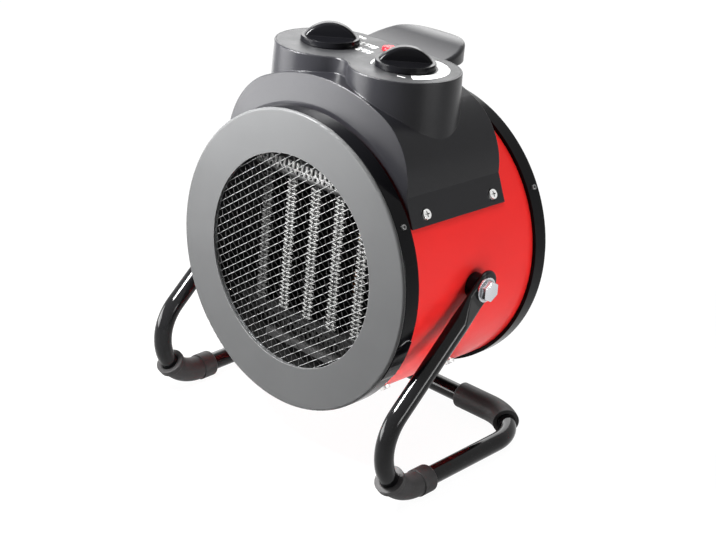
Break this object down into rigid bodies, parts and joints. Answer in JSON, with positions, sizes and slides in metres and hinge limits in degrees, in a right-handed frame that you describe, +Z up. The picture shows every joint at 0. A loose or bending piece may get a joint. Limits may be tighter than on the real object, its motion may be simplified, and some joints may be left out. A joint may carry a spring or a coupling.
{
  "type": "forced air heater",
  "caption": "Red drum-shaped forced air heater with a black control housing and two knobs, tilting on a bent tube stand.",
  "frame": {"origin": "middle of the footprint on the floor, under the centre of the bounding box", "axes": "+Z up, the air leaves towards -Y, +X to the right seen from the front"},
  "size_m": [0.2482, 0.1782, 0.2948],
  "materials": {
    "red_paint": "gloss",
    "black_paint": "gloss",
    "grey_paint": "satin",
    "black_plastic": "satin",
    "plate_plastic": "satin",
    "knob_plastic": "gloss",
    "red_lens": "gloss",
    "black_rubber": "matte",
    "zinc": "satin",
    "bright_wire": "gloss",
    "sheet_steel": "satin",
    "bare_aluminium": "satin",
    "ceramic": "matte",
    "laminated_steel": "satin",
    "copper": "satin",
    "bronze": "satin",
    "shaft_steel": "satin",
    "dark_plastic": "satin",
    "lead_cover": "satin"
  },
  "bodies": {
    "stand": {"stand_tube": "black_paint", "front_sleeve_left": "black_rubber", "front_sleeve_right": "black_rubber", "rear_sleeve_left": "black_rubber", "rear_sleeve_right": "black_rubber"},
    "heater": {"air_duct": "sheet_steel", "cable_gland": "dark_plastic", "control_housing": "black_plastic", "control_plate": "plate_plastic", "drum_screws": "zinc", "drum_shell": "red_paint", "duct_brackets": "sheet_steel", "element_crossbar": "sheet_steel", "element_insulators": "ceramic", "element_rail_lower": "sheet_steel", "element_rail_upper": "sheet_steel", "face_ring": "grey_paint", "fan_shroud": "sheet_steel", "fin_strips": "bare_aluminium", "front_rim": "black_paint", "handle": "black_plastic", "handle_screws": "zinc", "heating_stones": "ceramic", "heating_tube_1": "bare_aluminium", "heating_tube_2": "bare_aluminium", "heating_tube_3": "bare_aluminium", "heating_tube_4": "bare_aluminium", "heating_tube_5": "bare_aluminium", "inner_leads": "lead_cover", "lamp_body": "dark_plastic", "lamp_lens": "red_lens", "mesh_clamp": "sheet_steel", "motor_bolts": "zinc", "motor_bridges": "bare_aluminium", "motor_bushes": "bronze", "motor_coil": "copper", "motor_spider": "sheet_steel", "motor_stator": "laminated_steel", "outlet_mesh": "bright_wire", "pivot_bolt_left": "zinc", "pivot_bolt_right": "zinc", "pivot_nuts": "zinc", "pivot_plates": "zinc", "pivot_washer_left": "black_paint", "pivot_washer_right": "black_paint", "rear_guard": "black_paint", "rear_rim": "black_paint", "selector_switch": "dark_plastic", "small_screws": "zinc", "terminal_block": "ceramic", "thermal_cutout": "shaft_steel", "thermostat_body": "dark_plastic"},
    "selector": {"selector_knob": "knob_plastic", "selector_stem": "shaft_steel"},
    "thermostat": {"thermostat_knob": "knob_plastic", "thermostat_stem": "shaft_steel"},
    "fan": {"fan_wheel": "bare_aluminium", "hub_clip": "zinc", "fan_shaft": "shaft_steel", "motor_rotor": "laminated_steel"}
  },
  "joints": [
    {"name": "tilt", "type": "hinge", "parent": "stand", "child": "heater", "pos_m": [0, 0.00893, 0.1417], "axis": [-1, 0, 0], "range_deg": [-20, 40]},
    {"name": "selector_turn", "type": "hinge", "parent": "heater", "child": "selector", "pos_m": [-0.0355, 0.00172, 0.28027], "axis": [0, -0.0375, -0.9993], "range_deg": [0, 135]},
    {"name": "thermostat_turn", "type": "hinge", "parent": "heater", "child": "thermostat", "pos_m": [0.0355, 0.00172, 0.28027], "axis": [0, -0.0375, -0.9993], "range_deg": [0, 270]},
    {"name": "fan_spin", "type": "hinge", "parent": "heater", "child": "fan", "pos_m": [0, 0.05755, 0.13877], "axis": [0, 0.9993, -0.0375], "continuous": true}
  ]
}
